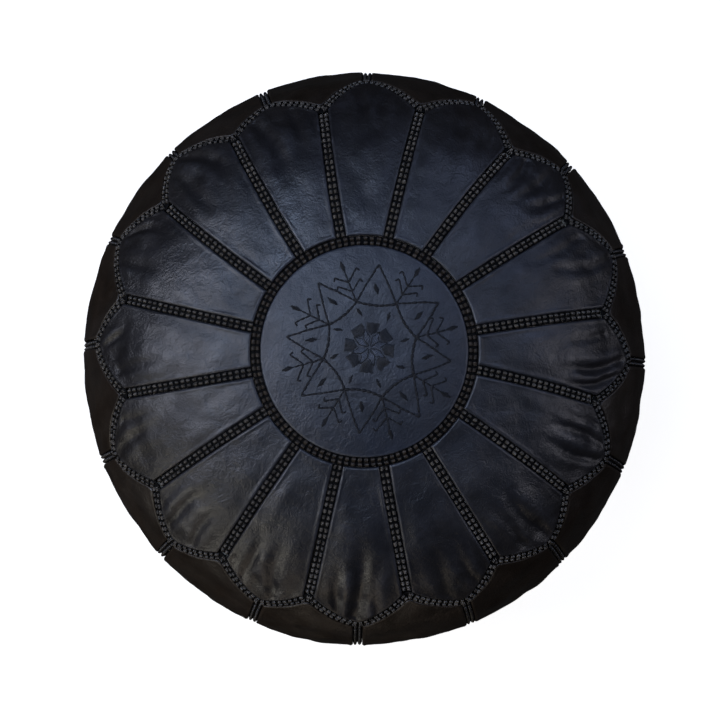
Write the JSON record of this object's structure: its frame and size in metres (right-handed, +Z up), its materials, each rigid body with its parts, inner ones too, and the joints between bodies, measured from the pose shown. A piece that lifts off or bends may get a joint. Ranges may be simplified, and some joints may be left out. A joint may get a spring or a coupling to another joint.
{
  "type": "leather pouf",
  "caption": "Round stuffed leather pouf with a petal top round an embroidered medallion, panelled sides with braided seams, and a zipped flat base.",
  "frame": {"origin": "centre of the underside, at floor level", "axes": "+Z up, +X along the base zip towards its closed end, -Y towards the viewer"},
  "size_m": [0.5008, 0.5008, 0.3],
  "materials": {
    "top_leather": "semi-gloss fine-grained sheep or goat leather, bluish black",
    "side_leather": "semi-gloss fine-grained leather, brownish black",
    "base_leather": "plain smooth leather, brownish black",
    "braid": "waxed black thread in two beaded rows over a leather welt",
    "cotton": "unbleached plain-weave cotton",
    "wadding": "loose off-white wadding",
    "zip_tape": "black woven tape with a moulded coil",
    "zip_metal": "aged brass"
  },
  "bodies": {
    "cover": {"medallion": "top_leather", "petal_01": "top_leather", "petal_02": "top_leather", "petal_03": "top_leather", "petal_04": "top_leather", "petal_05": "top_leather", "petal_06": "top_leather", "petal_07": "top_leather", "petal_08": "top_leather", "petal_09": "top_leather", "petal_10": "top_leather", "petal_11": "top_leather", "petal_12": "top_leather", "petal_13": "top_leather", "petal_14": "top_leather", "petal_15": "top_leather", "petal_16": "top_leather", "side_panel_01": "side_leather", "side_panel_02": "side_leather", "side_panel_03": "side_leather", "side_panel_04": "side_leather", "side_panel_05": "side_leather", "side_panel_06": "side_leather", "side_panel_07": "side_leather", "side_panel_08": "side_leather", "side_panel_09": "side_leather", "side_panel_10": "side_leather", "side_panel_11": "side_leather", "side_panel_12": "side_leather", "side_panel_13": "side_leather", "side_panel_14": "side_leather", "side_panel_15": "side_leather", "side_panel_16": "side_leather", "medallion_braid": "braid", "petal_braid_01": "braid", "petal_braid_02": "braid", "petal_braid_03": "braid", "petal_braid_04": "braid", "petal_braid_05": "braid", "petal_braid_06": "braid", "petal_braid_07": "braid", "petal_braid_08": "braid", "petal_braid_09": "braid", "petal_braid_10": "braid", "petal_braid_11": "braid", "petal_braid_12": "braid", "petal_braid_13": "braid", "petal_braid_14": "braid", "petal_braid_15": "braid", "petal_braid_16": "braid", "scallop_braid": "braid", "side_seam_braid": "braid", "base_disc": "base_leather", "zip_tape_front": "zip_tape", "zip_tape_back": "zip_tape", "inner_bag": "cotton", "filling": "wadding"},
    "slider": {"zip_slider": "zip_metal"},
    "pull_tab": {"zip_pull": "zip_metal"}
  },
  "joints": [
    {"name": "slider_travel", "type": "slide", "parent": "cover", "child": "slider", "axis": [-1, 0, 0], "range_m": [0, 0.236]},
    {"name": "pull_tab_pivot", "type": "hinge", "parent": "slider", "child": "pull_tab", "pos_m": [0.118, 0, 0.0042], "axis": [0, -1, 0], "range_deg": [0, 180]}
  ]
}
